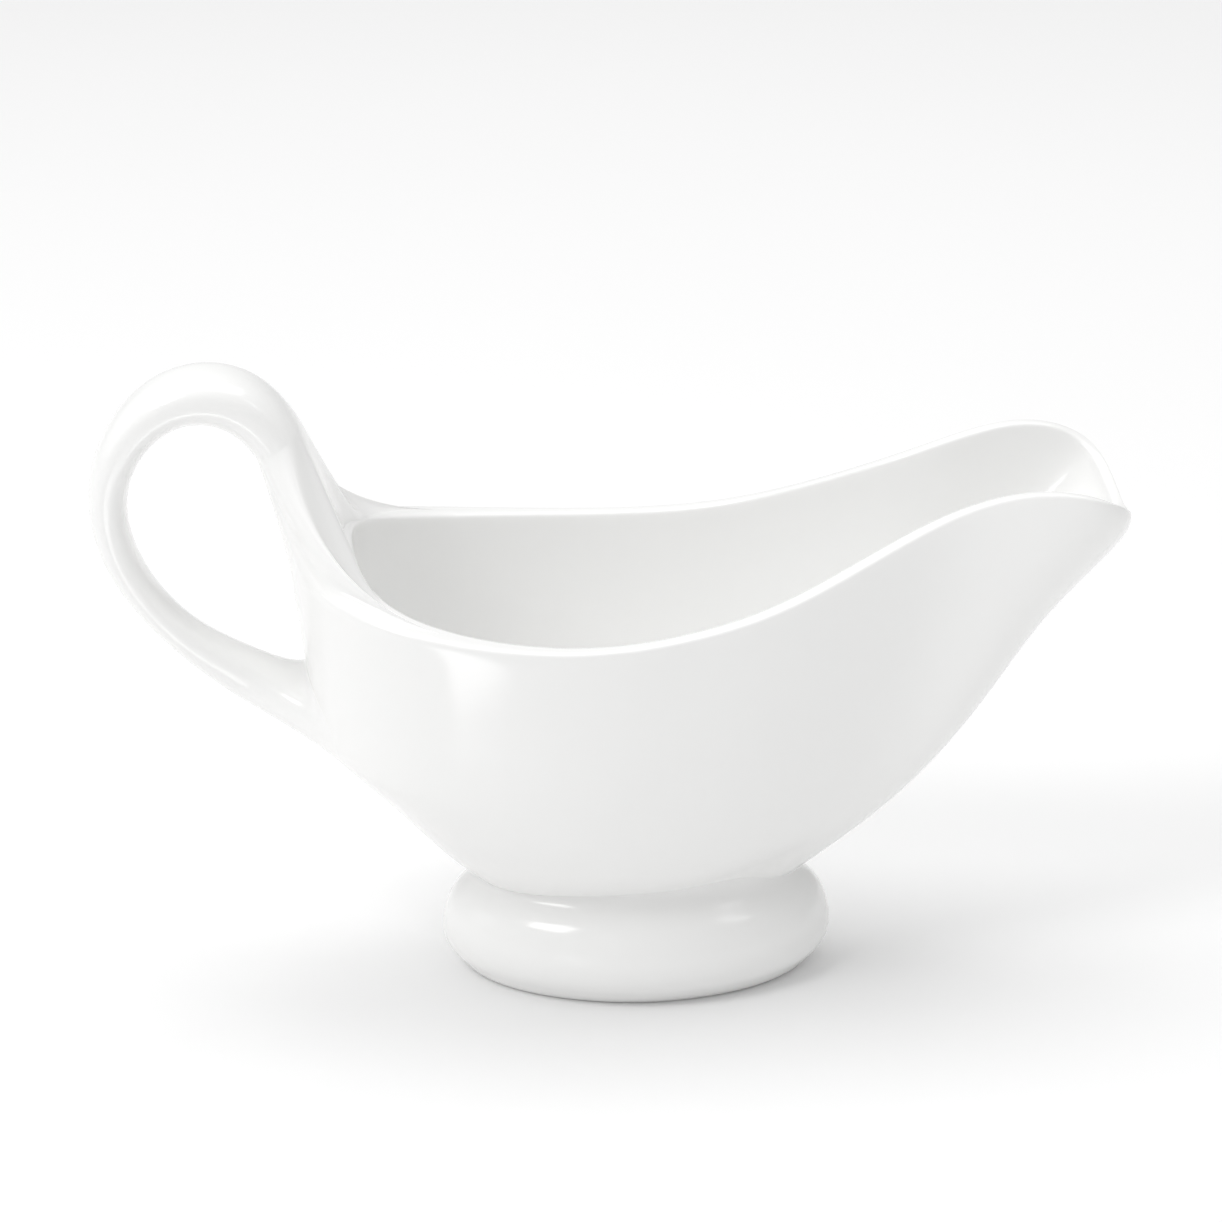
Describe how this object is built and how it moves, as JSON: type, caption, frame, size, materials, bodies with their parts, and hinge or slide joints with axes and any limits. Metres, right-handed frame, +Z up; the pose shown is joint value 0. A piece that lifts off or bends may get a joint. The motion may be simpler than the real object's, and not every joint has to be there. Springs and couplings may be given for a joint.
{
  "type": "gravy boat",
  "caption": "Glazed porcelain gravy boat: boat-shaped bowl with a long raised pouring spout, hollow cushion foot and looped strap handle.",
  "frame": {"origin": "bottom centre of the whole boat's bounding box, on the plane it stands on", "axes": "+Z up, +X along the length towards the pouring spout, handle at -X, +Y across the width"},
  "size_m": [0.2088, 0.0876, 0.1304],
  "materials": {
    "glazed_porcelain": "clear gloss glaze over white porcelain",
    "fired_slip": "fired porcelain slip under the glaze"
  },
  "bodies": {
    "root": {"bowl": "glazed_porcelain", "foot": "glazed_porcelain", "handle": "glazed_porcelain", "foot_joint": "fired_slip", "upper_handle_joint": "fired_slip", "lower_handle_joint": "fired_slip"}
  },
  "joints": []
}
